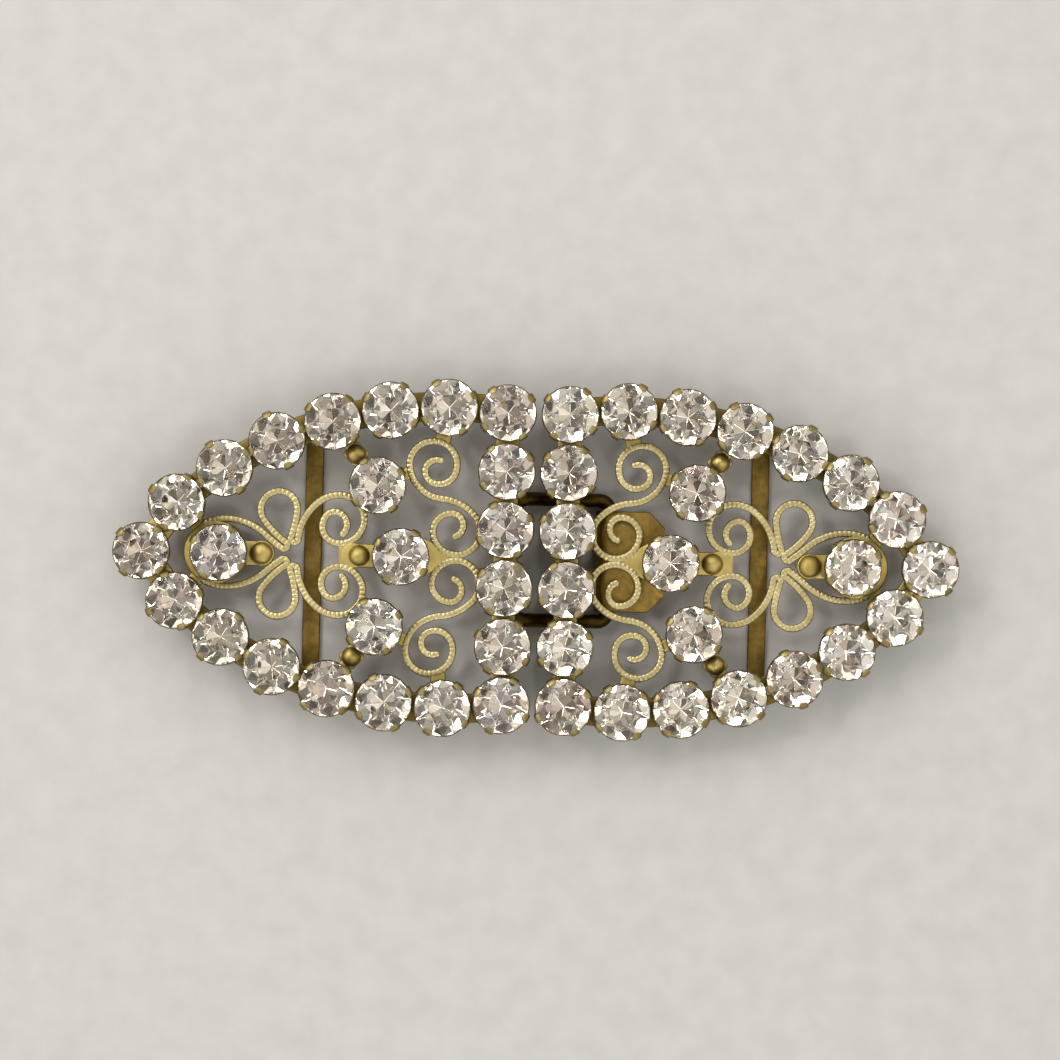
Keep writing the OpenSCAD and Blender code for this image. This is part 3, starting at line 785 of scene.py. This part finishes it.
def make_hook():
    """The hook's sheet along its fold: top leaf, half circle round the loop's wire, lower leaf.

    Two corners are cut."""
    r = HINGE[2] - HOOK_LOW[2] - HOOK_T / 2
    a = np.linspace(0, np.pi, 25)
    fold = np.column_stack([HINGE[0] - r * np.sin(a), np.zeros(25), HINGE[2] + r * np.cos(a)])
    upper = np.linspace(HOOK_HIGH[0], HINGE[0], 24)[:-1]
    lower = np.linspace(HINGE[0], HINGE[0] + 4, 10)[1:]
    line = np.vstack([np.column_stack([upper, 0 * upper, 0 * upper + HINGE[2] + r]), fold,
                      np.column_stack([lower, 0 * lower, 0 * lower + HINGE[2] - r])])
    width = HOOK_HIGH[1] - HOOK_LOW[1]
    section = rounded_bar(width, HOOK_T, 0.12)
    pull = np.zeros(len(line))
    pull[:len(upper)] = np.clip(CUT_CORNER - (HOOK_HIGH[0] - upper), 0, None)
    rings = np.repeat(section[None], len(line), axis=0)
    rings[..., 0] -= np.sign(rings[..., 0]) * pull[:, None]
    return make_piece("hook_folded", [sweep(line, rings, side=(0, 1, 0))], [RAW_BRASS], "right_half", ["hook"],
                      crease=45)


def make_loop():
    """The loop's wire, foot to foot. It swings up at radius 3 each way: cos(swing) = 1 - rise / 6.

    Its two ends go flat."""
    low, high = box_mm("loop")
    arm, up = high[1] - 0.95, high[2] - 0.375
    rise = PLATE_Z - 0.02 - WIRE_R - HINGE[2]
    swing = math.acos(1 - rise / 6)
    knee = 1.4 - 3 * math.tan(swing / 2)
    shoulder = knee - rise / math.tan(swing)
    half_line = [[low[0], arm, up - 0.02], [shoulder, arm, HINGE[2] + rise], [knee, arm, HINGE[2]],
                 [HINGE[0], arm, HINGE[2]]]
    corners = half_line + [[x, -y, z] for x, y, z in half_line[::-1]]
    line = bent_line(corners, [3, 3, 1.0, 1.0, 3, 3], 0.2)
    flat = np.clip((-1.0 - line[:, 0]) / 0.7, 0, 1)
    flat = (flat * flat * (3 - 2 * flat))[:, None, None]
    t = np.linspace(0, 2 * np.pi, 24, endpoint=False)
    wire = WIRE_R * np.stack([np.cos(t), np.sin(t)], -1)
    foot = np.stack([0.95 * np.sign(np.cos(t)) * np.abs(np.cos(t)) ** 0.5,
                     0.37 * np.sign(np.sin(t)) * np.abs(np.sin(t)) ** 0.5], -1)
    rings = wire * (1 - flat) + foot * flat
    line[:, 2] += flat[:, 0, 0] * (up - HINGE[2] - rise)
    # Painted shade: tone 0.75 darkens the whole wire, which lies in shade under the clasp's middle.
    wire_shell = sweep(line, rings, up=(0, 0, 1), tone=0.75)
    return make_piece("loop_bent_wire", [wire_shell], [RAW_BRASS], "left_half", ["loop"],
                      crease=50)


for piece in (make_hook(), make_loop()):
    print(piece.name, len(piece.data.polygons), "faces")

# %% [markdown]
# The clasp rests with its bars on a plain pale floor. The floor is paper: matt, nearly white, with a
# fibre so faint that it only stops the surface from looking painted.

# %% Floor
def make_floor():
    """A flat sheet of pale paper a hair below the bars, so that no two faces share a plane."""
    material, tree, shader = new_material("pale_matt_paper")
    place = add(tree, "ShaderNodeTexCoord").outputs["Object"]
    fibre = add(tree, "ShaderNodeTexNoise", {"Scale": per_mm(3), "Detail": 6.0},
                {"Vector": place}).outputs["Fac"]
    tree.links.new(ramp(tree, fibre, [(0.3, "B2AFAA"), (0.7, "B9B6B1")]), shader.inputs["Base Color"])
    bump = add(tree, "ShaderNodeBump", {"Strength": 0.2, "Distance": 0.02 * MM}, {"Height": fibre})
    tree.links.new(bump.outputs[0], shader.inputs["Normal"])
    shader.inputs["Roughness"].default_value = 0.9
    x, y = np.meshgrid(np.linspace(-1.5, 1.5, 9), np.linspace(-1.5, 1.5, 9), indexing="ij")
    mesh = bpy.data.meshes.new("paper_floor")
    i = (np.arange(8)[:, None] * 9 + np.arange(8)).ravel()[:, None]
    points = np.stack([x.ravel(), y.ravel(), np.full(81, CAD_LOW.z - 0.02 * MM)], -1)
    mesh.from_pydata(points, [], (i + [0, 9, 10, 1]).tolist())
    mesh.materials.append(material)
    floor = bpy.data.objects.new("paper_floor", mesh)
    bpy.context.scene.collection.objects.link(floor)


make_floor()
